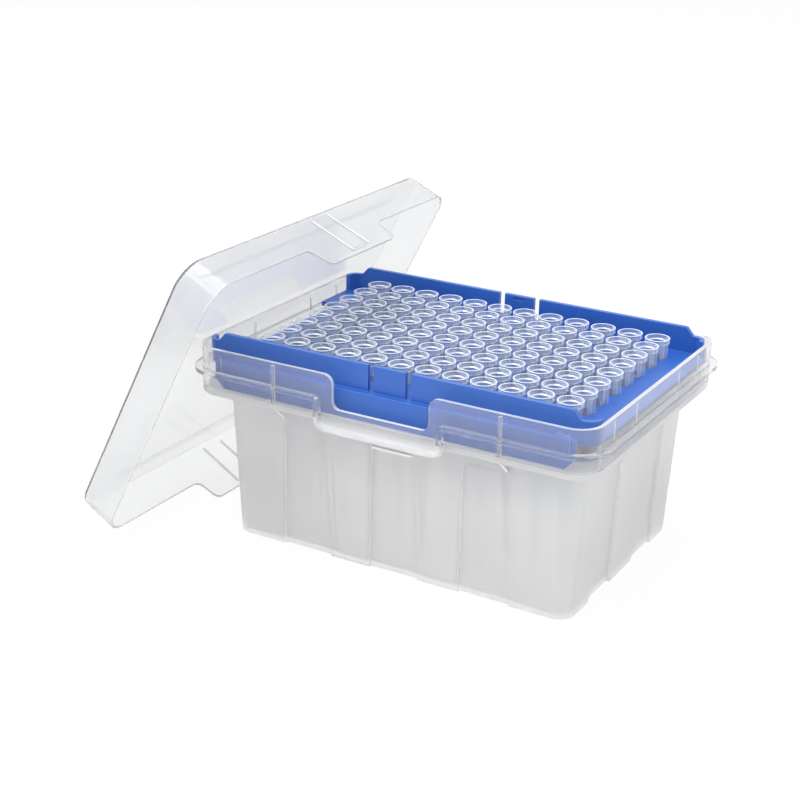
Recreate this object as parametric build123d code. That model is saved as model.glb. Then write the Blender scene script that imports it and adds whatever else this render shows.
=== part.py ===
"""Open box of pipette tips: a clear base box, a blue rack, 96 tips and the lid, taken off and leaning.

Millimetres, +Z up. The origin is the middle of the base box's underside. +X runs along the box's
long side, and -Y is the front.
"""
import os
from math import atan, cos, degrees, radians, sin, tan

from build123d import *

# ---------------------------------------------------------------- base box
RIM_LENGTH = 131.8  # outside of the collar at its open edge
RIM_WIDTH = 94.9
RIM_RADIUS = 8.0
BOX_HEIGHT = 63.0
BOX_WALL = 1.3
COLLAR_HEIGHT = 15.0  # from the shoulder's underside to the open edge
SHOULDER_THICK = 1.8
COLLAR_DRAFT = 0.4  # degrees, wider upwards
COLLAR_EDGE = 0.7  # rounding under the collar
BODY_INSET_LONG = 8.5  # of the floor's ends from the rim's ends
BODY_INSET_WIDE = 9.45  # of the floor's long edges from the rim's
BODY_RADIUS = 5.0
BODY_DRAFT = 3.0  # degrees, wider upwards
BODY_EDGE = 0.5  # rounding round the floor

FLUTE_DEPTH = 1.0  # shallow upright recesses in the body's four walls
FLUTE_BELOW_SHOULDER = 5.6
FLUTE_TAPER = 2.3  # degrees, of each side, narrower upwards
FLUTE_CORNER = 1.5
LONG_FLUTE_WIDTH = 17.0
LONG_FLUTE_PITCH = 30.3
LONG_FLUTES = 3
SHORT_FLUTE_WIDTH = 15.6
SHORT_FLUTE_PITCH = 31.4
SHORT_FLUTES = 2

RAIL_BELOW_RIM = 6.8  # the rail on which the closed lid sits
RAIL_THICK = 1.3
RAIL_REACH = 2.3
FRAME_CORNER = 3.2  # the rail dips round the lid's tongue in a U-shaped frame
FRAME_SHOULDER = 1.8  # rounding where the rail turns down
NOTCH_LENGTH = 32.0  # finger notch in the open edge, in the middle of both long sides
NOTCH_DEPTH = 10.3
NOTCH_INNER = 2.5
NOTCH_OUTER = 3.0

RIB_OFFSET = 37.5  # upright ribs inside the collar, which keep the rack in the middle
RIB_WIDTH = 0.9
RIB_REACH = 1.2
RIB_BELOW_RIM = 1.5
END_RIB_OFFSETS = (16.0, 31.5)
END_RIB_REACH = 0.2
GUSSET_DROP = 5.2  # webs under the shoulder, in line with the ribs
GUSSET_REACH = 5.6
PAD_LENGTH = 4.0  # plain raised pads by the collar's corners
PAD_HEIGHT = 5.0
PAD_OFFSET = 57.0
PAD_REACH = 0.15
GRIP_LENGTH = 15.0  # short bar on the body, under the tongue's frame
GRIP_HEIGHT = 0.8
GRIP_BELOW_SHOULDER = 7.4
GRIP_REACH = 0.7
INTO_WALL = 0.5  # how deep a rib or bar starts inside the wall that carries it

# ---------------------------------------------------------------- tips
PITCH = 9.0
COLUMNS = 12
ROWS = 8
GRID_SHIFT = 2.2  # the grid's middle stands this far towards +X of the box's middle
TIP_LENGTH = 50.7
HEAD_HEIGHT = 6.3  # above the rack's plate
RING_HEIGHT = 1.5
RING_STEP = 0.25  # of the ring outside the fins
RING_WALL = 0.5  # at the mouth
MOUTH_LEAD = 1.2  # depth of the mouth's funnel
NECK_STEP = 0.25  # of the tube's radius, between the plate and the ring
TIP_WALL = 0.35
FINS = 8  # upright fins under the ring, whose feet stand on the plate
FIN_THICK = 0.4
FIN_LEDGE = 0.65  # how far the fins reach past the plate's hole
SHANK_RADIUS = 2.75
THROAT_DEPTH = 12.0  # below the plate's top, where the long taper starts
THROAT_RADIUS = 2.6
POINT_RADIUS = 0.45
POINT_BORE = 0.25

# ---------------------------------------------------------------- rack
PLATE_THICK = 1.5
PLATE_GAP = 0.3  # between the plate's ends and the collar's inside
RACK_WALL = 1.4
SKIRT_GAP = 1.95  # between the rack's skirts and the collar's inside
RACK_RADIUS = 3.9
RACK_WALL_HEIGHT = 8.1
LIP_HEIGHT = 5.5  # lower return of the walls round the corners
LIP_END = 6.8  # bare length of each wall's end, from the plate's end to the full height
LIP_RUN = 2.3
LIP_RETURN = 4.5  # how far the lip runs along the short ends
PLATE_CUT_LENGTH = 44.0  # finger cut in the plate's -X end
PLATE_CUT_DEPTH = 6.0
PLATE_CUT_CORNER = 1.5
SKIRT_STEP = 2.1  # how far the skirts stand outside the walls
SKIRT_INSET = 4.9  # from the plate's end to the skirt's end
SKIRT_CHAMFER = 3.0
HOLE_GAP = 0.2
TAB_WIDTH = 10.5
SLOT_WIDTH = 1.9
TAB_DIMPLE_WIDTH = 4.0
TAB_DIMPLE_HEIGHT = 0.9
TAB_DIMPLE_DEPTH = 0.5
TAB_DIMPLE_BELOW = 0.7
PLATE_ABOVE_SHOULDER = 8.6  # from the collar's floor to the plate's top

# ---------------------------------------------------------------- lid
LID_GAP = 0.1  # between the closed lid's inside and the box's rim
LID_WALL = 0.8
LID_HEIGHT = 12.6
LID_DRAFT = 3.4
LID_EDGE = 1.2
PANEL_LENGTH = 96.0  # sunk panel in the lid's top, with a ramp at each end
PANEL_WIDTH = 79.0
PANEL_DEPTH = 0.6
PANEL_RAMP = 8.0
TONGUE_LENGTH = 8.5
TONGUE_ROOT = 39.0
TONGUE_END = 36.6
TONGUE_CORNER = 2.5
TONGUE_GAP = 0.2  # between the closed tongue and the rail's frame
TONGUE_RIB_OFFSET = 4.6
TONGUE_RIB_WIDTH = 0.8
TONGUE_RIB_REACH = 0.35
TONGUE_RIB_TOP = 10.0
CATCH_LENGTH = 8.0  # bead inside each tongue
CATCH_HEIGHT = 0.8
CATCH_REACH = 0.5
CATCH_BELOW_RIM = 6.6

LEAN_ANGLE = 27.0  # of the lid's open side from upright
LEAN_SHIFT = -4.3  # of the lid's middle from the box's, along Y
LEAN_GAP = 0.05

# ---------------------------------------------------------------- worked out
SHOULDER_BOTTOM = BOX_HEIGHT - COLLAR_HEIGHT
SHOULDER_TOP = SHOULDER_BOTTOM + SHOULDER_THICK
RAIL_TOP = BOX_HEIGHT - RAIL_BELOW_RIM
FLUTE_TOP = SHOULDER_BOTTOM - FLUTE_BELOW_SHOULDER
GRIP_TOP = SHOULDER_BOTTOM - GRIP_BELOW_SHOULDER
PLATE_TOP = SHOULDER_TOP + PLATE_ABOVE_SHOULDER
PLATE_BOTTOM = PLATE_TOP - PLATE_THICK
BODY_LENGTH = RIM_LENGTH - 2 * BODY_INSET_LONG
BODY_WIDTH = RIM_WIDTH - 2 * BODY_INSET_WIDE
FRAME_BOTTOM = RAIL_TOP - TONGUE_LENGTH - TONGUE_GAP - RAIL_THICK
FRAME_LENGTH = TONGUE_ROOT + 2 * (TONGUE_GAP + RAIL_THICK)
COLLAR_SLOPE = tan(radians(COLLAR_DRAFT))
BODY_SLOPE = tan(radians(BODY_DRAFT))
FLUTE_SLOPE = tan(radians(FLUTE_TAPER))
LID_SLOPE = tan(radians(LID_DRAFT))
PLATE_LENGTH = RIM_LENGTH - 2 * (BOX_WALL + (BOX_HEIGHT - PLATE_BOTTOM) * COLLAR_SLOPE + PLATE_GAP)
SKIRT_LENGTH = PLATE_LENGTH - 2 * SKIRT_INSET
HOLE_RADIUS = SHANK_RADIUS + HOLE_GAP
FIN_RADIUS = HOLE_RADIUS + FIN_LEDGE
RING_RADIUS = FIN_RADIUS + RING_STEP
NECK_RADIUS = SHANK_RADIUS + NECK_STEP
LEDGE_WIDTH = RIM_WIDTH - 2 * (BOX_WALL + COLLAR_HEIGHT * COLLAR_SLOPE + SKIRT_GAP)
RACK_WIDTH = LEDGE_WIDTH - 2 * SKIRT_STEP
LID_OUTSET = LID_GAP + LID_WALL + (BOX_HEIGHT - RAIL_TOP) * LID_SLOPE
LID_LENGTH = RIM_LENGTH + 2 * LID_OUTSET
LID_WIDTH = RIM_WIDTH + 2 * LID_OUTSET
LID_RADIUS = RIM_RADIUS + LID_OUTSET
FAR = 3 * RIM_LENGTH  # longer than the whole box, for cutting right through


def tapered_block(length, width, radius, slope, bottom, top, inset=0.0):
    """Rounded block between two heights. Its plan is given at height 0 and grows by slope upwards."""
    grow = bottom * slope - inset
    plan = RectangleRounded(length + 2 * grow, width + 2 * grow, radius + grow)
    return extrude(Pos(0, 0, bottom) * plan, top - bottom, taper=-degrees(atan(slope)))


def body_block(bottom, top, inset=0.0):
    """The lower part of the base box, filled."""
    return tapered_block(BODY_LENGTH, BODY_WIDTH, BODY_RADIUS, BODY_SLOPE, bottom, top, inset)


def collar_block(bottom, top, inset=0.0):
    """The wider upper part of the base box, filled."""
    down = inset + BOX_HEIGHT * COLLAR_SLOPE
    return tapered_block(RIM_LENGTH, RIM_WIDTH, RIM_RADIUS, COLLAR_SLOPE, bottom, top, down)


def lid_block(bottom, top, inset=0.0):
    """The lid's outer form, filled, with its open edge at height 0."""
    return tapered_block(LID_LENGTH, LID_WIDTH, LID_RADIUS, -LID_SLOPE, bottom, top, inset)


def elevation(face, depth=FAR):
    """Prism through the whole box from a face drawn in X and Z."""
    return extrude(Plane.XZ * face, depth / 2, both=True)


def side_elevation(face, depth=FAR):
    """Prism through the whole box from a face drawn in Y and Z."""
    return extrude(Plane.YZ * face, depth / 2, both=True)


def span(length, low, high, at=0.0):
    """Upright rectangle of the given length between two heights."""
    return Pos(at, (low + high) / 2) * Rectangle(length, high - low)


def corners_near(face, x, y):
    """The two corners of a drawn face that lie at x on either side, at height y."""
    return [v for v in face.vertices() if abs(abs(v.X) - x) < 0.01 and abs(v.Y - y) < 0.01]


def flute_outline(width, grow):
    """Outline of a recess that is width wide at the floor, widened all round by grow."""
    top = FLUTE_TOP + grow
    low = width / 2 + grow + FLUTE_TOP * FLUTE_SLOPE
    high = width / 2 + grow - top * FLUTE_SLOPE
    outline = Polyline((-low, -FLUTE_TOP), (low, -FLUTE_TOP), (high, top), (-high, top), close=True)
    face = make_face(outline)
    return fillet(face.vertices().group_by(Axis.Y)[-1], FLUTE_CORNER + grow)


def flutes(grow=0.0):
    """Prisms that mark out the shallow recesses, widened by grow for their inner side."""
    long_one = flute_outline(LONG_FLUTE_WIDTH, grow)
    short_one = flute_outline(SHORT_FLUTE_WIDTH, grow)
    prisms = []
    for place in GridLocations(LONG_FLUTE_PITCH, 1, LONG_FLUTES, 1):
        prisms.append(elevation(place * long_one))
    for place in GridLocations(SHORT_FLUTE_PITCH, 1, SHORT_FLUTES, 1):
        prisms.append(side_elevation(place * short_one))
    return prisms


def fluted_body(bottom, top, inset, grow):
    """Body block with every flute sunk by the flutes' depth."""
    full = body_block(bottom, top, inset)
    core = body_block(bottom, top, inset + FLUTE_DEPTH)
    if inset == 0:
        full = fillet(full.faces().sort_by(Axis.Z)[0].edges(), BODY_EDGE)
        core = fillet(core.faces().sort_by(Axis.Z)[0].edges(), BODY_EDGE)
    return full - flutes(grow) + core


def tongue_frame():
    """Rail round the collar that carries the lid, dipping in a U round each tongue."""
    rail = span(FAR, RAIL_TOP - RAIL_THICK, RAIL_TOP)
    frame = span(FRAME_LENGTH, FRAME_BOTTOM, RAIL_TOP)
    frame = fillet(corners_near(frame, FRAME_LENGTH / 2, FRAME_BOTTOM), FRAME_CORNER)
    inner = FRAME_LENGTH / 2 - RAIL_THICK
    window = span(2 * inner, FRAME_BOTTOM + RAIL_THICK, RAIL_TOP + RAIL_THICK)
    window = fillet(corners_near(window, inner, FRAME_BOTTOM + RAIL_THICK), FRAME_CORNER - RAIL_THICK)
    outline = rail + frame - window
    outline = fillet(corners_near(outline, inner, RAIL_TOP), FRAME_SHOULDER)
    ring = collar_block(FRAME_BOTTOM, RAIL_TOP, -RAIL_REACH)
    ring -= collar_block(FRAME_BOTTOM, RAIL_TOP, BOX_WALL)
    return ring & elevation(outline)


def tongue_backing():
    """Collar wall carried down behind the dip of the rail."""
    ring = collar_block(FRAME_BOTTOM, SHOULDER_TOP) - collar_block(FRAME_BOTTOM, SHOULDER_TOP, BOX_WALL)
    window = span(FRAME_LENGTH - 2 * RAIL_THICK, FRAME_BOTTOM, SHOULDER_TOP)
    return ring & elevation(window)


def collar_ribs():
    """Upright ribs on the collar's inside: two on each long side and four on each end."""
    high = BOX_HEIGHT - RIB_BELOW_RIM
    skin = collar_block(SHOULDER_BOTTOM, high, BOX_WALL - INTO_WALL)
    long_skin = skin - collar_block(SHOULDER_BOTTOM, high, BOX_WALL + RIB_REACH)
    end_skin = skin - collar_block(SHOULDER_BOTTOM, high, BOX_WALL + END_RIB_REACH)
    strip = span(RIB_WIDTH, SHOULDER_TOP - INTO_WALL, high)
    ribs = [long_skin & elevation(Pos(x, 0) * strip) for x in (-RIB_OFFSET, RIB_OFFSET)]
    for offset in END_RIB_OFFSETS:
        ribs += [end_skin & side_elevation(Pos(y, 0) * strip) for y in (-offset, offset)]
    return ribs


def corner_pads():
    """Plain raised pads on the collar's outside, above the rail."""
    skin = collar_block(RAIL_TOP - INTO_WALL, RAIL_TOP + PAD_HEIGHT, -PAD_REACH)
    skin -= collar_block(RAIL_TOP - INTO_WALL, RAIL_TOP + PAD_HEIGHT, INTO_WALL)
    pad = span(PAD_LENGTH, RAIL_TOP - INTO_WALL, RAIL_TOP + PAD_HEIGHT)
    return [skin & elevation(Pos(x, 0) * pad) for x in (-PAD_OFFSET, PAD_OFFSET)]


def gussets():
    """Small triangular webs under the shoulder, in line with the long sides' ribs."""
    wall = BODY_WIDTH / 2 + SHOULDER_BOTTOM * BODY_SLOPE - INTO_WALL
    web = make_face(
        Polyline(
            (wall, SHOULDER_BOTTOM + INTO_WALL),
            (wall + GUSSET_REACH, SHOULDER_BOTTOM + INTO_WALL),
            (wall + GUSSET_REACH, SHOULDER_BOTTOM),
            (wall, SHOULDER_BOTTOM - GUSSET_DROP),
            (wall - INTO_WALL, SHOULDER_BOTTOM - GUSSET_DROP),
            close=True,
        )
    )
    upright = extrude(Plane.YZ * web, RIB_WIDTH / 2, both=True)
    places = [Pos(x, 0, 0) for x in (-RIB_OFFSET, RIB_OFFSET)]
    return [place * turn * upright for place in places for turn in (Rot(0, 0, 0), Rot(0, 0, 180))]


def grip_bars():
    """Short bars on the body under the tongues' frames."""
    low = GRIP_TOP - GRIP_HEIGHT
    skin = body_block(low, GRIP_TOP, FLUTE_DEPTH - GRIP_REACH)
    skin -= body_block(low, GRIP_TOP, FLUTE_DEPTH + INTO_WALL)
    return skin & elevation(span(GRIP_LENGTH, low, GRIP_TOP))


def make_base():
    """Base box: fluted body, wider collar with its rail, notches and small ribs."""
    collar = collar_block(SHOULDER_BOTTOM, BOX_HEIGHT)
    collar = fillet(collar.faces().sort_by(Axis.Z)[0].edges(), COLLAR_EDGE)
    box = fluted_body(0, SHOULDER_TOP, 0, 0) + collar + tongue_frame() + tongue_backing()
    box = box + gussets() + corner_pads()
    box -= collar_block(SHOULDER_TOP, BOX_HEIGHT, BOX_WALL)
    box -= fluted_body(BOX_WALL, SHOULDER_TOP, BOX_WALL, BOX_WALL)
    box = box + collar_ribs() + grip_bars()
    notch_bottom = BOX_HEIGHT - NOTCH_DEPTH
    sheet = span(FAR, -BOX_HEIGHT, BOX_HEIGHT) - span(NOTCH_LENGTH, notch_bottom, BOX_HEIGHT)
    sheet = fillet(corners_near(sheet, NOTCH_LENGTH / 2, notch_bottom), NOTCH_INNER)
    sheet = fillet(corners_near(sheet, NOTCH_LENGTH / 2, BOX_HEIGHT), NOTCH_OUTER)
    return box & elevation(sheet)


def tip_grid():
    """Places of the tips' axes, one list for each column."""
    first = GRID_SHIFT - PITCH * (COLUMNS - 1) / 2
    return [
        [Pos(first + PITCH * c, 0, 0) * place for place in GridLocations(1, PITCH, 1, ROWS)]
        for c in range(COLUMNS)
    ]


def make_tip():
    """One tip: tube with a ring at its mouth, and fins whose feet stand on the rack's plate."""
    top = PLATE_TOP + HEAD_HEIGHT
    end = top - TIP_LENGTH
    ring_bottom = top - RING_HEIGHT
    throat = PLATE_TOP - THROAT_DEPTH
    outline = Polyline(
        (RING_RADIUS - RING_WALL, top),
        (RING_RADIUS, top),
        (RING_RADIUS, ring_bottom),
        (NECK_RADIUS, ring_bottom),
        (SHANK_RADIUS, PLATE_TOP),
        (THROAT_RADIUS, throat),
        (POINT_RADIUS, end),
        (POINT_BORE, end),
        (THROAT_RADIUS - TIP_WALL, throat),
        (SHANK_RADIUS - TIP_WALL, PLATE_TOP),
        (NECK_RADIUS - TIP_WALL, top - MOUTH_LEAD),
        close=True,
    )
    tube = revolve(Plane.XZ * make_face(outline), Axis.Z)
    fin_side = Polyline(
        (SHANK_RADIUS - TIP_WALL / 2, PLATE_TOP),
        (FIN_RADIUS, PLATE_TOP),
        (FIN_RADIUS, ring_bottom),
        (NECK_RADIUS - TIP_WALL / 2, ring_bottom),
        close=True,
    )
    fin = extrude(Plane.XZ * make_face(fin_side), FIN_THICK / 2, both=True)
    return tube + [place * fin for place in PolarLocations(0, FINS)]


def make_rack():
    """Blue rack: holed plate, two upright walls with a tab each, and a stepped skirt below them."""
    plan = RectangleRounded(PLATE_LENGTH, RACK_WIDTH, RACK_RADIUS)
    holed = plan + Rectangle(SKIRT_LENGTH, LEDGE_WIDTH)
    finger_cut = RectangleRounded(2 * PLATE_CUT_DEPTH, PLATE_CUT_LENGTH, PLATE_CUT_CORNER)
    holed -= Pos(-PLATE_LENGTH / 2, 0) * finger_cut
    hole = Circle(HOLE_RADIUS)
    holed -= [place * hole for column in tip_grid() for place in column]
    plate = extrude(Pos(0, 0, PLATE_BOTTOM) * holed, PLATE_THICK)

    wall_top = PLATE_TOP + RACK_WALL_HEIGHT
    ring = plan - offset(plan, -RACK_WALL)
    walls = extrude(Pos(0, 0, PLATE_TOP) * ring, RACK_WALL_HEIGHT)
    half = PLATE_LENGTH / 2
    full = half - LIP_END
    lip_top = PLATE_TOP + LIP_HEIGHT
    outline = make_face(
        Polyline(
            (-full, wall_top),
            (full, wall_top),
            (full + LIP_RUN, lip_top),
            (half, lip_top),
            (half, PLATE_TOP),
            (-half, PLATE_TOP),
            (-half, lip_top),
            (-full - LIP_RUN, lip_top),
            close=True,
        )
    )
    for side in (-1, 1):
        outline -= span(SLOT_WIDTH, PLATE_TOP, wall_top, side * (TAB_WIDTH + SLOT_WIDTH) / 2)
    walls &= elevation(outline)
    walls -= Box(FAR, RACK_WIDTH - 2 * LIP_RETURN, FAR)

    skirt = span(SKIRT_LENGTH, SHOULDER_TOP, PLATE_BOTTOM)
    skirt = chamfer(skirt.vertices().group_by(Axis.Y)[0], SKIRT_CHAMFER)
    skirts = elevation(skirt, LEDGE_WIDTH) - elevation(skirt, LEDGE_WIDTH - 2 * RACK_WALL)

    dimple = Box(TAB_DIMPLE_WIDTH, RACK_WIDTH - 2 * (RACK_WALL - TAB_DIMPLE_DEPTH), TAB_DIMPLE_HEIGHT)
    dimple = Pos(0, 0, wall_top - TAB_DIMPLE_BELOW - TAB_DIMPLE_HEIGHT / 2) * dimple
    return plate + walls + skirts - dimple


def sunk_panel(drop=0.0, grow=0.0):
    """Filled form of the sunk panel with its two ramps, lowered and widened for the inner side."""
    top = LID_HEIGHT - drop
    flat = PANEL_LENGTH / 2 + grow
    ends = flat + PANEL_RAMP
    outline = make_face(
        Polyline(
            (-ends, top + LID_HEIGHT),
            (ends, top + LID_HEIGHT),
            (ends, top),
            (flat, top - PANEL_DEPTH),
            (-flat, top - PANEL_DEPTH),
            (-ends, top),
            close=True,
        )
    )
    return elevation(outline, PANEL_WIDTH + 2 * grow)


def catch_beads():
    """Short bead inside each tongue."""
    low = -CATCH_BELOW_RIM
    high = low + CATCH_HEIGHT
    bead = lid_block(low, high, LID_WALL - INTO_WALL) - lid_block(low, high, LID_WALL + CATCH_REACH)
    return bead & elevation(span(CATCH_LENGTH, low, high))


def make_closed_lid():
    """Lid with its open edge at height 0, open side down: shell, sunk panel and two tongues."""
    shell = lid_block(0, LID_HEIGHT)
    shell = fillet(shell.faces().sort_by(Axis.Z)[-1].edges(), LID_EDGE)
    shell += lid_block(-TONGUE_LENGTH, 0)
    skin = lid_block(-CATCH_BELOW_RIM, TONGUE_RIB_TOP, -TONGUE_RIB_REACH)
    for side in (-TONGUE_RIB_OFFSET, TONGUE_RIB_OFFSET):
        shell += skin & elevation(span(TONGUE_RIB_WIDTH, -CATCH_BELOW_RIM, TONGUE_RIB_TOP, side))
    hollow = lid_block(-TONGUE_LENGTH, LID_HEIGHT - LID_WALL, LID_WALL)
    hollow -= sunk_panel(LID_WALL, LID_WALL)
    shell = shell - hollow - sunk_panel() + catch_beads()

    side = span(FAR, 0, LID_HEIGHT) + make_face(
        Polyline(
            (-TONGUE_ROOT / 2, 0),
            (-TONGUE_END / 2, -TONGUE_LENGTH),
            (TONGUE_END / 2, -TONGUE_LENGTH),
            (TONGUE_ROOT / 2, 0),
            close=True,
        )
    )
    side = fillet(corners_near(side, TONGUE_ROOT / 2, 0), TONGUE_CORNER)
    side = fillet(corners_near(side, TONGUE_END / 2, -TONGUE_LENGTH), TONGUE_CORNER)
    return shell & elevation(side)


def lean(lid):
    """Stands the lid on one tongue, its open side against the box's -X end."""
    low = TONGUE_LENGTH * LID_SLOPE + LID_WIDTH / 2
    angle = radians(LEAN_ANGLE)
    height = low * cos(angle) + TONGUE_LENGTH * sin(angle)
    depth = LID_HEIGHT - LID_WALL - PANEL_DEPTH - LEAN_GAP
    reach = (depth - (BOX_HEIGHT - height) * sin(angle)) / cos(angle)
    upright = Rot(0, LEAN_ANGLE - 90, 0) * Rot(0, 0, 90)
    return Pos(reach - RIM_LENGTH / 2, LEAN_SHIFT, height) * upright * lid


def main():
    os.makedirs("parts", exist_ok=True)
    export_step(make_base(), "parts/base.step")
    export_step(make_rack(), "parts/rack.step")
    export_step(lean(make_closed_lid()), "parts/lid.step")
    tip = make_tip()
    for number, column in enumerate(tip_grid(), 1):
        tips = Compound(children=[place * tip for place in column])
        export_step(tips, f"parts/tips_column_{number:02d}.step")


main()
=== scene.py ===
"""Looks of an open box of pipette tips: translucent base, blue rack, clear tips and the leaning lid."""
from math import radians

import bmesh
import bpy
from mathutils import Matrix, Vector


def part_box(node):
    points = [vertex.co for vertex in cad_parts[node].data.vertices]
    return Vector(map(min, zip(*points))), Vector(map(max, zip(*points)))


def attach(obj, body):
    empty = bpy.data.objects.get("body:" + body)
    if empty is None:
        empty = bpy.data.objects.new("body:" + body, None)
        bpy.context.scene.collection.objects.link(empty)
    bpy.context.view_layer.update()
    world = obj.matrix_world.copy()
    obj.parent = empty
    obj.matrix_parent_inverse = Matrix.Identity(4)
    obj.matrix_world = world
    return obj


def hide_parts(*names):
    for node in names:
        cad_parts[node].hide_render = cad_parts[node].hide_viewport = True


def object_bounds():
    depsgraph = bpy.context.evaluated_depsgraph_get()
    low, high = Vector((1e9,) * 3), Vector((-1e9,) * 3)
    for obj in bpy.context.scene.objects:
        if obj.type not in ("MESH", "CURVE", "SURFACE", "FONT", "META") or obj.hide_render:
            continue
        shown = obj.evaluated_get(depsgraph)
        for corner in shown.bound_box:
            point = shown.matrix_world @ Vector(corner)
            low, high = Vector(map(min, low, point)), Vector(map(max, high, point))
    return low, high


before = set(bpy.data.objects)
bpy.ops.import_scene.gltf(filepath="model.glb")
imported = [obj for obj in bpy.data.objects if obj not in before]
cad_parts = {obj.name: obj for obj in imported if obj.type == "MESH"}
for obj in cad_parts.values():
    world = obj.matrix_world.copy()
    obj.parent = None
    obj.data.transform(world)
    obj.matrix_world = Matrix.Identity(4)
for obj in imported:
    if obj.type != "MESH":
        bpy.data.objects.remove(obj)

cad_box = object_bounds()
MM = 0.001

# ---------------------------------------------------------------- view, light and floor
LENS = 73.78  # mm
SENSOR = 36.0  # mm
AZIMUTH = radians(29.946)
ELEVATION = radians(21.144)
ROLL = radians(1.07)
DISTANCE = 448.28 * MM
LOOK_AT = Vector((12.05, -56.59, 64.69)) * MM
NEAREST = 10 * MM
FARTHEST = 20.0
FLOOR_SIZE = 8.0
FLOOR_WHITE = (0.9, 0.9, 0.9, 1.0)
WHITE = (1.0, 1.0, 1.0, 1.0)
WORLD_LIGHT = 0.75
FLOOR_GLOW = 0.94  # share of the floor that shows plain white instead of the lamps' light

# ---------------------------------------------------------------- plastics
FINE_GRAIN = 900.0  # grains of the moulded surface along a metre
TIP_GRAIN = 1500.0
SATIN_GRAIN = 1800.0
GRAIN_HEIGHT = 0.05 * MM
BASE_FLOW = (160.0, 8.0, 30.0)  # flow marks along a metre: across, along, clouds
LID_FLOW = (60.0, 20.0, 30.0)
RACK_FLOW = (40.0, 40.0, 40.0)
TIP_FLOW = (300.0, 60.0, 200.0)
SOFT_SHINE = {"Coat Weight": 0.2, "Coat Roughness": 0.15}
BASE_IOR = 1.22  # lower than real polypropylene's, because thin hazy walls hide the bending of light
LID_IOR = 1.38
SEAT_IOR = 2.2  # high, for the bright glint of a polished step
# painted shade at the foot of the box, multiplied into its base colour
FOOT_SHADE = (0.875, 0.875, 0.875, 1.0)
LIGHT_PASSED = 0.85  # share of the lamps' light that goes straight through a tip's wall

# ---------------------------------------------------------------- pieces
SHARP = radians(32)
FLAT = radians(0.5)
LEVEL = 0.9  # upward part of a level face's normal
CAD_MERGE = 0.002 * MM
RING_MERGE = 0.001 * MM
RING_STEPS = 20
SOFT_EDGE = 0.18 * MM
BASE_SOFT_EDGE = 0.28 * MM
LOW_STEP = 0.4 * MM  # steps lower than this stay sharp
BASE_WALL_END = 1.6 * MM  # a level face narrower than this is a wall's end
BASE_STEP = 0.95 * MM  # any face narrower than this is a step or a rib
LID_WALL_END = 1.2 * MM
TIP_WALL_END = 0.6 * MM
SHOULDER = (46.5 * MM, 50.2 * MM)  # heights between which the collar's floor lies
# the painted shade on the body is at its darkest below this height
DARK_BELOW = 20.0 * MM
PLATE_BOTTOM = 56.9 * MM
# the edges' materials paint light on the edges, the shoulder's band is painted lighter, and the body
# carries painted shade
EDGES, SHOULDER_PART, BODY_PART, UPPER_EDGES = 1, 2, 3, 4  # a piece's materials after the first
TIPS_IN_COLUMN = 8
TIP_PITCH = 9.0 * MM
# outlines of the rings in a mouth, as radius and depth below the tip's top
SEAT = ((2.78 * MM, 0.96 * MM), (2.46 * MM, 1.34 * MM), (2.68 * MM, 1.5 * MM))
LIP = ((3.85 * MM, 0.1 * MM), (3.73 * MM, 0.0), (3.61 * MM, 0.1 * MM), (3.73 * MM, 0.2 * MM))


def add_object(name, data):
    """A new object in the scene."""
    piece = bpy.data.objects.new(name, data)
    bpy.context.scene.collection.objects.link(piece)
    return piece


# ---------------------------------------------------------------- material helpers
def set_inputs(node, values):
    """Plain values on a node's sockets, given as name: value."""
    for label, value in values.items():
        node.inputs[label].default_value = value


def new_group(name, inputs, outputs):
    """An empty shader node group, with its inputs given as name: default."""
    group = bpy.data.node_groups.new(name, "ShaderNodeTree")
    for label, value in inputs.items():
        socket = group.interface.new_socket(label, in_out="INPUT", socket_type="NodeSocketFloat")
        socket.default_value = value
    for label in outputs:
        group.interface.new_socket(label, in_out="OUTPUT", socket_type="NodeSocketFloat")
    entry = group.nodes.new("NodeGroupInput")
    exit_node = group.nodes.new("NodeGroupOutput")
    return group, entry, exit_node


def flow_marks_group():
    """Faint upright streaks and cloudiness of moulded plastic, about 0 to 1."""
    group, entry, exit_node = new_group(
        "flow_marks", {"Across": 90.0, "Along": 6.0, "Cloud": 25.0}, ["Streaks", "Clouds"]
    )
    place = group.nodes.new("ShaderNodeTexCoord")
    stretch = group.nodes.new("ShaderNodeCombineXYZ")
    for axis, label in (("X", "Across"), ("Y", "Across"), ("Z", "Along")):
        group.links.new(entry.outputs[label], stretch.inputs[axis])
    scaled = group.nodes.new("ShaderNodeVectorMath")
    scaled.operation = "MULTIPLY"
    group.links.new(place.outputs["Object"], scaled.inputs[0])
    group.links.new(stretch.outputs["Vector"], scaled.inputs[1])
    streaks = group.nodes.new("ShaderNodeTexNoise")
    set_inputs(streaks, {"Scale": 1.0, "Detail": 3.0})
    group.links.new(scaled.outputs["Vector"], streaks.inputs["Vector"])
    clouds = group.nodes.new("ShaderNodeTexNoise")
    clouds.inputs["Detail"].default_value = 2.0
    group.links.new(place.outputs["Object"], clouds.inputs["Vector"])
    group.links.new(entry.outputs["Cloud"], clouds.inputs["Scale"])
    group.links.new(streaks.outputs["Fac"], exit_node.inputs["Streaks"])
    group.links.new(clouds.outputs["Fac"], exit_node.inputs["Clouds"])
    return group


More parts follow.
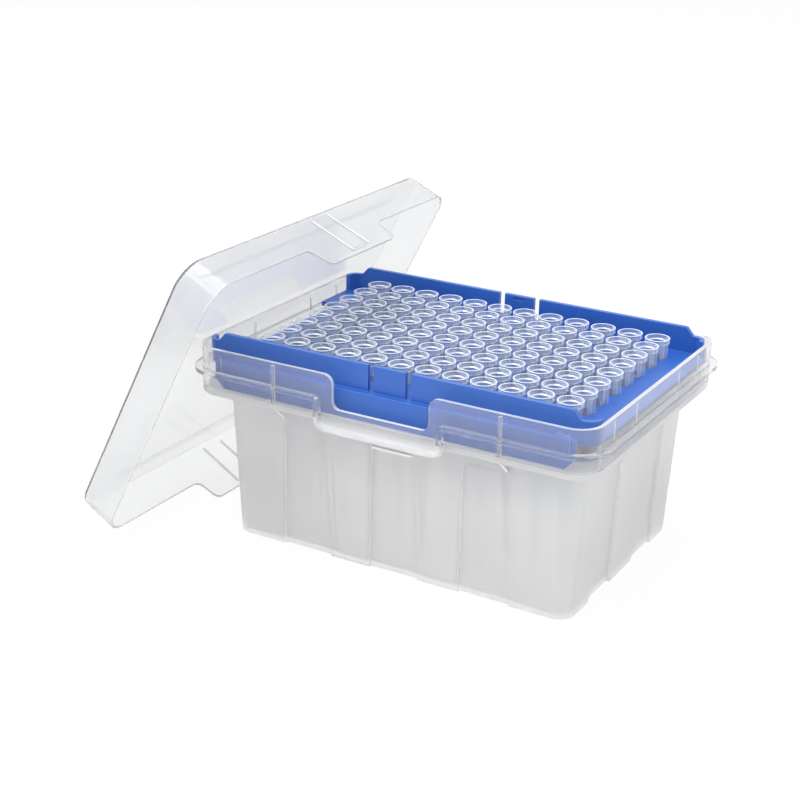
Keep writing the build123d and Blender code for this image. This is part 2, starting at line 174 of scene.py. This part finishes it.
def grain_group():
    """Fine moulded grain for bump, and a roughness that varies a little round a base value."""
    group, entry, exit_node = new_group(
        "moulded_grain", {"Scale": 2500.0, "Roughness": 0.3, "Spread": 0.08}, ["Height", "Roughness"]
    )
    place = group.nodes.new("ShaderNodeTexCoord")
    fine = group.nodes.new("ShaderNodeTexNoise")
    fine.inputs["Detail"].default_value = 2.0
    group.links.new(place.outputs["Object"], fine.inputs["Vector"])
    group.links.new(entry.outputs["Scale"], fine.inputs["Scale"])
    patches = group.nodes.new("ShaderNodeTexNoise")
    patches.inputs["Scale"].default_value = 60.0
    group.links.new(place.outputs["Object"], patches.inputs["Vector"])
    centred = group.nodes.new("ShaderNodeMath")
    centred.operation = "SUBTRACT"
    centred.inputs[1].default_value = 0.5
    group.links.new(patches.outputs["Fac"], centred.inputs[0])
    varied = group.nodes.new("ShaderNodeMath")
    varied.operation = "MULTIPLY_ADD"
    group.links.new(centred.outputs["Value"], varied.inputs[0])
    group.links.new(entry.outputs["Spread"], varied.inputs[1])
    group.links.new(entry.outputs["Roughness"], varied.inputs[2])
    group.links.new(fine.outputs["Fac"], exit_node.inputs["Height"])
    group.links.new(varied.outputs["Value"], exit_node.inputs["Roughness"])
    return group


GRAIN = grain_group()
FLOW = flow_marks_group()


def plastic(name, grain_scale, roughness, bump):
    """A material with a Principled shader whose roughness and bump come from the grain group."""
    material = bpy.data.materials.new(name)
    material.use_nodes = True
    nodes, links = material.node_tree.nodes, material.node_tree.links
    shader = nodes["Principled BSDF"]
    grain = nodes.new("ShaderNodeGroup")
    grain.node_tree = GRAIN
    set_inputs(grain, {"Scale": grain_scale, "Roughness": roughness})
    links.new(grain.outputs["Roughness"], shader.inputs["Roughness"])
    relief = nodes.new("ShaderNodeBump")
    set_inputs(relief, {"Strength": bump, "Distance": GRAIN_HEIGHT})
    links.new(grain.outputs["Height"], relief.inputs["Height"])
    links.new(relief.outputs["Normal"], shader.inputs["Normal"])
    return material, shader


def blend_colour(material, shader, factor, low, high):
    """Base colour that runs between two colours by a factor socket."""
    mix = material.node_tree.nodes.new("ShaderNodeMix")
    mix.data_type = "RGBA"
    set_inputs(mix, {"A": (*low, 1.0), "B": (*high, 1.0)})
    material.node_tree.links.new(factor, mix.inputs["Factor"])
    material.node_tree.links.new(mix.outputs["Result"], shader.inputs["Base Color"])
    return mix


def flow_node(material, marks):
    """The flow marks group in a material, with its marks along a metre as (across, along, clouds)."""
    across, along, cloud = marks
    node = material.node_tree.nodes.new("ShaderNodeGroup")
    node.node_tree = FLOW
    set_inputs(node, {"Across": across, "Along": along, "Cloud": cloud})
    return node


def paint_shade_downward(material, shader, colour):
    """Painted shade: base colour that grows darker from the shoulder of the box down to its foot."""
    nodes, links = material.node_tree.nodes, material.node_tree.links
    place = nodes.new("ShaderNodeTexCoord")
    split = nodes.new("ShaderNodeSeparateXYZ")
    links.new(place.outputs["Object"], split.inputs["Vector"])
    depth = nodes.new("ShaderNodeMapRange")
    set_inputs(depth, {"From Min": SHOULDER[0], "From Max": DARK_BELOW, "To Max": 1.0})
    links.new(split.outputs["Z"], depth.inputs["Value"])
    shade = nodes.new("ShaderNodeMix")
    shade.data_type = "RGBA"
    shade.blend_type = "MULTIPLY"
    shade.inputs["B"].default_value = FOOT_SHADE
    links.new(depth.outputs["Result"], shade.inputs["Factor"])
    links.new(colour, shade.inputs["A"])
    links.new(shade.outputs["Result"], shader.inputs["Base Color"])


# ---------------------------------------------------------------- materials
def milky_plastic():
    """Translucent polypropylene of the base box's collar."""
    material, shader = plastic("milky_plastic", FINE_GRAIN, roughness=0.2, bump=0.1)
    flow = flow_node(material, BASE_FLOW)
    blend_colour(material, shader, flow.outputs["Streaks"], (0.96, 0.96, 0.96), (0.99, 0.99, 0.99))
    set_inputs(shader, {"Transmission Weight": 0.92, "IOR": BASE_IOR, **SOFT_SHINE})
    return material


def milky_body():
    """The body under the shoulder, through which only soft shades of the tips show."""
    material, shader = plastic("milky_body", FINE_GRAIN, roughness=0.4, bump=0.1)
    flow = flow_node(material, BASE_FLOW)
    mix = blend_colour(material, shader, flow.outputs["Streaks"], (0.95, 0.95, 0.95), (0.98, 0.98, 0.98))
    # painted shade: the body's colour grows darker towards its foot
    paint_shade_downward(material, shader, mix.outputs["Result"])
    set_inputs(shader, {"Transmission Weight": 0.68, "IOR": BASE_IOR, **SOFT_SHINE})
    return material


def milky_edge():
    """Edges of the base box, more opaque than its walls, which gather the light inside its walls and look
    whiter: a painted highlight.
    """
    material, shader = plastic("milky_edge", FINE_GRAIN, roughness=0.3, bump=0.1)
    flow = flow_node(material, BASE_FLOW)
    blend_colour(material, shader, flow.outputs["Clouds"], (0.93, 0.93, 0.93), (0.97, 0.97, 0.97))
    set_inputs(shader, {"Transmission Weight": 0.3, "IOR": BASE_IOR})
    return material


def milky_rim():
    """Painted highlight on the edges of the collar, clearer than the body's, so that they stay softer
    where the lamps meet them.
    """
    material, shader = plastic("milky_rim", FINE_GRAIN, roughness=0.3, bump=0.1)
    flow = flow_node(material, BASE_FLOW)
    blend_colour(material, shader, flow.outputs["Clouds"], (0.86, 0.86, 0.86), (0.92, 0.92, 0.92))
    set_inputs(shader, {"Transmission Weight": 0.6, "IOR": BASE_IOR})
    return material


def milky_shoulder():
    """The band round the thick level shoulder under the collar, more opaque than the walls so that it
    looks whiter: the slab itself scatters more light, and on the walls of the band this whiteness is
    painted light.
    """
    material, shader = plastic("milky_shoulder", FINE_GRAIN, roughness=0.36, bump=0.1)
    flow = flow_node(material, BASE_FLOW)
    blend_colour(material, shader, flow.outputs["Streaks"], (0.91, 0.91, 0.91), (0.96, 0.96, 0.96))
    set_inputs(shader, {"Transmission Weight": 0.62, "IOR": BASE_IOR})
    return material


def clear_plastic():
    """Clearer polypropylene of the lid."""
    material, shader = plastic("clear_plastic", FINE_GRAIN, roughness=0.16, bump=0.06)
    flow = flow_node(material, LID_FLOW)
    blend_colour(material, shader, flow.outputs["Clouds"], (0.92, 0.925, 0.93), (0.97, 0.975, 0.98))
    set_inputs(shader, {"Transmission Weight": 0.95, "IOR": LID_IOR})
    return material


def clear_edge():
    """Edges of the lid, less clear than its faces so that they show as lines: painted light and shade for
    the light that the edges bend.
    """
    material, shader = plastic("clear_edge", FINE_GRAIN, roughness=0.2, bump=0.06)
    flow = flow_node(material, LID_FLOW)
    blend_colour(material, shader, flow.outputs["Clouds"], (0.86, 0.865, 0.87), (0.95, 0.955, 0.96))
    set_inputs(shader, {"Transmission Weight": 0.5, "IOR": LID_IOR})
    return material


def blue_plastic():
    """Satin blue of the rack."""
    material, shader = plastic("blue_plastic", SATIN_GRAIN, roughness=0.34, bump=0.12)
    flow = flow_node(material, RACK_FLOW)
    blend_colour(material, shader, flow.outputs["Clouds"], (0.020, 0.100, 0.42), (0.029, 0.122, 0.48))
    return material


def blue_edge():
    """Edges of the rack, a little paler than its faces: a painted highlight."""
    material, shader = plastic("blue_edge", SATIN_GRAIN, roughness=0.26, bump=0.12)
    flow = flow_node(material, RACK_FLOW)
    blend_colour(material, shader, flow.outputs["Clouds"], (0.07, 0.20, 0.60), (0.10, 0.25, 0.66))
    return material


def lets_light_by(nodes, links, alpha):
    """An alpha that is mostly dropped for shadow rays, as clear plastic passes the lamps' light."""
    rays = nodes.new("ShaderNodeLightPath")
    kept = nodes.new("ShaderNodeMath")
    kept.operation = "MULTIPLY_ADD"
    kept.inputs[1].default_value = -LIGHT_PASSED
    kept.inputs[2].default_value = 1.0
    links.new(rays.outputs["Is Shadow Ray"], kept.inputs[0])
    seen = nodes.new("ShaderNodeMath")
    seen.operation = "MULTIPLY"
    links.new(alpha, seen.inputs[0])
    links.new(kept.outputs["Value"], seen.inputs[1])
    return seen.outputs["Value"]


def tip_plastic():
    """Clear plastic of the tips: light at grazing angles, see-through face on and to the lamps."""
    material, shader = plastic("tip_plastic", TIP_GRAIN, roughness=0.12, bump=0.04)
    nodes, links = material.node_tree.nodes, material.node_tree.links
    flow = flow_node(material, TIP_FLOW)
    blend_colour(material, shader, flow.outputs["Clouds"], (0.52, 0.58, 0.71), (0.60, 0.66, 0.78))
    facing = nodes.new("ShaderNodeLayerWeight")
    facing.inputs["Blend"].default_value = 0.5
    clear = nodes.new("ShaderNodeMapRange")
    set_inputs(clear, {"From Min": 0.25, "From Max": 1.0, "To Min": 0.16, "To Max": 0.75})
    links.new(facing.outputs["Facing"], clear.inputs["Value"])
    place = nodes.new("ShaderNodeTexCoord")
    split = nodes.new("ShaderNodeSeparateXYZ")
    links.new(place.outputs["Object"], split.inputs["Vector"])
    head = nodes.new("ShaderNodeMapRange")
    set_inputs(head, {"From Min": PLATE_BOTTOM - MM, "From Max": PLATE_BOTTOM})
    set_inputs(head, {"To Min": 0.4, "To Max": 1.0})
    links.new(split.outputs["Z"], head.inputs["Value"])
    share = nodes.new("ShaderNodeMath")
    share.operation = "MULTIPLY"
    links.new(clear.outputs["Result"], share.inputs[0])
    links.new(head.outputs["Result"], share.inputs[1])
    links.new(lets_light_by(nodes, links, share.outputs["Value"]), shader.inputs["Alpha"])
    return material


def tip_rim():
    """Flat faces of the ring at each tip's mouth, paler than the tip's walls: a painted highlight."""
    material, shader = plastic("tip_rim", TIP_GRAIN, roughness=0.2, bump=0.04)
    flow = flow_node(material, TIP_FLOW)
    blend_colour(material, shader, flow.outputs["Clouds"], (0.80, 0.83, 0.88), (0.88, 0.90, 0.94))
    shader.inputs["Alpha"].default_value = 0.38
    return material


def tip_seat():
    """Polished step inside each mouth, where the pipette seals."""
    material, shader = plastic("tip_seat", TIP_GRAIN, roughness=0.16, bump=0.02)
    flow = flow_node(material, TIP_FLOW)
    blend_colour(material, shader, flow.outputs["Clouds"], (0.46, 0.53, 0.68), (0.54, 0.60, 0.74))
    shader.inputs["IOR"].default_value = SEAT_IOR
    return material


def tip_lip():
    """Rounded outer lip of each mouth, opaque and near white: a painted highlight for the thin line of
    light that it catches.
    """
    material, shader = plastic("tip_lip", TIP_GRAIN, roughness=0.2, bump=0.04)
    flow = flow_node(material, TIP_FLOW)
    blend_colour(material, shader, flow.outputs["Clouds"], (0.90, 0.92, 0.95), (0.97, 0.98, 1.0))
    return material


# ---------------------------------------------------------------- pieces
def smooth_patches(solid):
    """Groups of faces that run into each other without a sharp edge, each with its outline's length."""
    left = set(solid.faces)
    while left:
        patch, outline, open_faces = [], 0.0, [left.pop()]
        while open_faces:
            face = open_faces.pop()
            patch.append(face)
            for edge in face.edges:
                if not edge.is_contiguous or edge.calc_face_angle() > SHARP:
                    outline += edge.calc_length()
                    continue
                for other in edge.link_faces:
                    if other in left:
                        left.remove(other)
                        open_faces.append(other)
        yield patch, outline


def mark_edge_faces(solid, wall, step, slab):
    """Gives their own materials to wall ends, steps and ribs, to a level slab and to the walls below it.

    A wall's end is a level face narrower than wall, a step or rib any face narrower than step.

    Returns the faces of the lowest steps, which are too low to be rounded.
    """
    low_steps = set()
    for patch, outline in smooth_patches(solid):
        area = sum(face.calc_area() for face in patch)
        width = 2 * area / outline if outline else wall
        level = any(abs(face.normal.z) > LEVEL for face in patch)
        thin = width < step or (level and width < wall)
        for face in patch:
            height = face.calc_center_median().z
            if slab and slab[0] < height < slab[1]:
                face.material_index = SHOULDER_PART
            elif slab and height < slab[0] and not thin:
                face.material_index = BODY_PART
            else:
                face.material_index = EDGES if thin else 0
        if width < LOW_STEP:
            low_steps.update(patch)
    return low_steps


def soften_edges(solid, low_steps, width):
    """Rounds the sharp edges, and gives the rounding the edges' material."""
    sharp = [
        edge
        for edge in solid.edges
        if edge.is_contiguous and edge.calc_face_angle() > SHARP and low_steps.isdisjoint(edge.link_faces)
    ]
    bmesh.ops.bevel(
        solid,
        geom=sharp,
        offset=width,
        offset_type="OFFSET",
        affect="EDGES",
        segments=2,
        profile=0.5,
        clamp_overlap=True,
        material=EDGES,
    )


def mark_upper_edges(solid, height):
    """Gives the edges above a height their own material."""
    for face in solid.faces:
        if face.material_index == EDGES and face.calc_center_median().z > height:
            face.material_index = UPPER_EDGES


def cut_at(solid, height):
    """Splits the faces that cross a height."""
    whole = [*solid.verts, *solid.edges, *solid.faces]
    bmesh.ops.bisect_plane(solid, geom=whole, plane_co=(0.0, 0.0, height), plane_no=(0.0, 0.0, 1.0))


def soft_copy(node, name, materials, wall=0.0, step=0.0, slab=None, edge=SOFT_EDGE):
    """A merged copy of a CAD node, with smooth rounds and soft edges, that stands for it."""
    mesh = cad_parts[node].data.copy()
    mesh.name = name
    mesh.materials.clear()
    for material in materials:
        mesh.materials.append(material)
    solid = bmesh.new()
    solid.from_mesh(mesh)
    bmesh.ops.remove_doubles(solid, verts=solid.verts, dist=CAD_MERGE)
    bmesh.ops.dissolve_limit(solid, angle_limit=FLAT, verts=solid.verts, edges=solid.edges)
    if slab:
        cut_at(solid, slab[0])
        cut_at(solid, slab[1])
    low_steps = mark_edge_faces(solid, wall, step, slab)
    if edge:
        soften_edges(solid, low_steps, edge)
    if slab:
        mark_upper_edges(solid, slab[1])
    solid.to_mesh(mesh)
    solid.free()
    mesh.shade_smooth()
    mesh.set_sharp_from_angle(angle=SHARP)
    piece = add_object(name, mesh)
    level = piece.modifiers.new("level_faces", "WEIGHTED_NORMAL")
    level.keep_sharp = True
    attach(piece, "root")
    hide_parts(node)


def make_rings(column, part, outline, material):
    """The same ring in each tip's mouth of a column, turned from an outline of (radius, depth) points."""
    low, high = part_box(column)
    middle = (low.x + high.x) / 2
    first = low.y + (high.x - low.x) / 2
    solid = bmesh.new()
    for row in range(TIPS_IN_COLUMN):
        centre = Vector((middle, first + row * TIP_PITCH, high.z))
        verts = [solid.verts.new(centre + Vector((radius, 0, -depth))) for radius, depth in outline]
        edges = [solid.edges.new((verts[i - 1], verts[i])) for i in range(len(verts))]
        bmesh.ops.spin(
            solid,
            geom=edges,
            cent=centre,
            axis=(0, 0, 1),
            angle=radians(360),
            steps=RING_STEPS,
            use_merge=True,
        )
    bmesh.ops.remove_doubles(solid, verts=solid.verts, dist=RING_MERGE)
    bmesh.ops.recalc_face_normals(solid, faces=solid.faces)
    mesh = bpy.data.meshes.new(column + part)
    solid.to_mesh(mesh)
    solid.free()
    mesh.materials.append(material)
    mesh.shade_smooth()
    mesh.set_sharp_from_angle(angle=SHARP)
    rings = add_object(column + part, mesh)
    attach(rings, "root")


def make_tips(wall_material, rim_highlight_material, seat_material, lip_highlight_material):
    """Every column of tips, as smooth clear copies with the seat and the rounded lip of each mouth."""
    columns = sorted(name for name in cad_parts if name.startswith("tips_column"))
    for name in columns:
        materials = (wall_material, rim_highlight_material)
        soft_copy(name, name + "_clear", materials, wall=TIP_WALL_END, edge=0.0)
        make_rings(name, "_seats", SEAT, seat_material)
        # the lips are near-white rings, a painted highlight round each mouth
        make_rings(name, "_lips", LIP, lip_highlight_material)


# ---------------------------------------------------------------- stage
def white_for_rays(tree, strength=1.0):
    """Share of plain white in what the camera, gloss and clear plastic see of a surface."""
    nodes, links = tree.nodes, tree.links
    rays = nodes.new("ShaderNodeLightPath")
    first = nodes.new("ShaderNodeMath")
    first.operation = "MAXIMUM"
    links.new(rays.outputs["Is Camera Ray"], first.inputs[0])
    links.new(rays.outputs["Is Glossy Ray"], first.inputs[1])
    seen = nodes.new("ShaderNodeMath")
    seen.operation = "MAXIMUM"
    links.new(first.outputs["Value"], seen.inputs[0])
    links.new(rays.outputs["Is Transmission Ray"], seen.inputs[1])
    share = nodes.new("ShaderNodeMath")
    share.operation = "MULTIPLY"
    share.inputs[1].default_value = strength
    links.new(seen.outputs["Value"], share.inputs[0])
    return share.outputs["Value"]


def make_floor():
    """White floor that keeps only a faint shadow."""
    mesh = bpy.data.meshes.new("floor")
    sheet = bmesh.new()
    bmesh.ops.create_grid(sheet, x_segments=1, y_segments=1, size=FLOOR_SIZE / 2)
    sheet.to_mesh(mesh)
    sheet.free()
    floor = add_object("floor", mesh)
    material = bpy.data.materials.new("floor_white")
    material.use_nodes = True
    nodes, links = material.node_tree.nodes, material.node_tree.links
    shader = nodes["Principled BSDF"]
    set_inputs(shader, {"Base Color": FLOOR_WHITE, "Roughness": 0.9})
    glow = nodes.new("ShaderNodeEmission")
    glow.inputs["Color"].default_value = WHITE
    mix = nodes.new("ShaderNodeMixShader")
    links.new(white_for_rays(material.node_tree, FLOOR_GLOW), mix.inputs["Fac"])
    links.new(shader.outputs["BSDF"], mix.inputs[1])
    links.new(glow.outputs["Emission"], mix.inputs[2])
    links.new(mix.outputs["Shader"], nodes["Material Output"].inputs["Surface"])
    mesh.materials.append(material)


def make_world():
    """Even studio light, seen as plain white behind the object."""
    world = bpy.data.worlds.new("studio")
    bpy.context.scene.world = world
    world.use_nodes = True
    nodes, links = world.node_tree.nodes, world.node_tree.links
    soft = nodes["Background"]
    set_inputs(soft, {"Color": WHITE, "Strength": WORLD_LIGHT})
    white = nodes.new("ShaderNodeBackground")
    set_inputs(white, {"Color": WHITE, "Strength": 1.0})
    mix = nodes.new("ShaderNodeMixShader")
    links.new(white_for_rays(world.node_tree), mix.inputs["Fac"])
    links.new(soft.outputs["Background"], mix.inputs[1])
    links.new(white.outputs["Background"], mix.inputs[2])
    links.new(mix.outputs["Shader"], nodes["World Output"].inputs["Surface"])


def make_lamp(name, place, width, height, power):
    """A soft box that faces the middle of the object, in metres and watts."""
    middle = (cad_box[0] + cad_box[1]) / 2
    light = bpy.data.lights.new(name, "AREA")
    light.shape = "RECTANGLE"
    light.size = width
    light.size_y = height
    light.energy = power
    lamp = add_object(name, light)
    aim = middle - Vector(place)
    lamp.matrix_world = Matrix.Translation(place) @ aim.to_track_quat("-Z", "Y").to_matrix().to_4x4()


def make_camera():
    """A long lens that looks down on the box from its front right corner."""
    camera = bpy.data.cameras.new("camera")
    camera.lens = LENS
    camera.sensor_width = SENSOR
    camera.clip_start = NEAREST
    camera.clip_end = FARTHEST
    holder = add_object("camera", camera)
    turn = Matrix.Rotation(AZIMUTH, 4, "Z") @ Matrix.Rotation(radians(90) - ELEVATION, 4, "X")
    back = Matrix.Translation((0, 0, DISTANCE)) @ Matrix.Rotation(ROLL, 4, "Z")
    holder.matrix_world = Matrix.Translation(LOOK_AT) @ turn @ back
    bpy.context.scene.camera = holder


make_camera()
make_floor()
make_world()
make_lamp("top_soft_box", (-0.25, -0.05, 0.9), width=0.7, height=0.7, power=5.5)
make_lamp("front_strip", (0.0, -0.58, 0.95), width=2.0, height=0.22, power=5.5)
make_lamp("left_soft_box", (-0.9, -0.5, 0.5), width=0.6, height=0.6, power=3.0)
make_lamp("right_soft_box", (1.0, 0.15, 0.45), width=0.6, height=0.6, power=2.6)

soft_copy(
    "base",
    "base_shell",
    (milky_plastic(), milky_edge(), milky_shoulder(), milky_body(), milky_rim()),
    wall=BASE_WALL_END,
    step=BASE_STEP,
    slab=SHOULDER,
    edge=BASE_SOFT_EDGE,
)
soft_copy("rack", "rack_moulding", (blue_plastic(), blue_edge()))
soft_copy(
    "lid",
    "lid_cover",
    (clear_plastic(), clear_edge()),
    wall=LID_WALL_END,
    step=LID_WALL_END,
)
make_tips(tip_plastic(), tip_rim(), tip_seat(), tip_lip())

bpy.context.scene.view_settings.view_transform = "Standard"
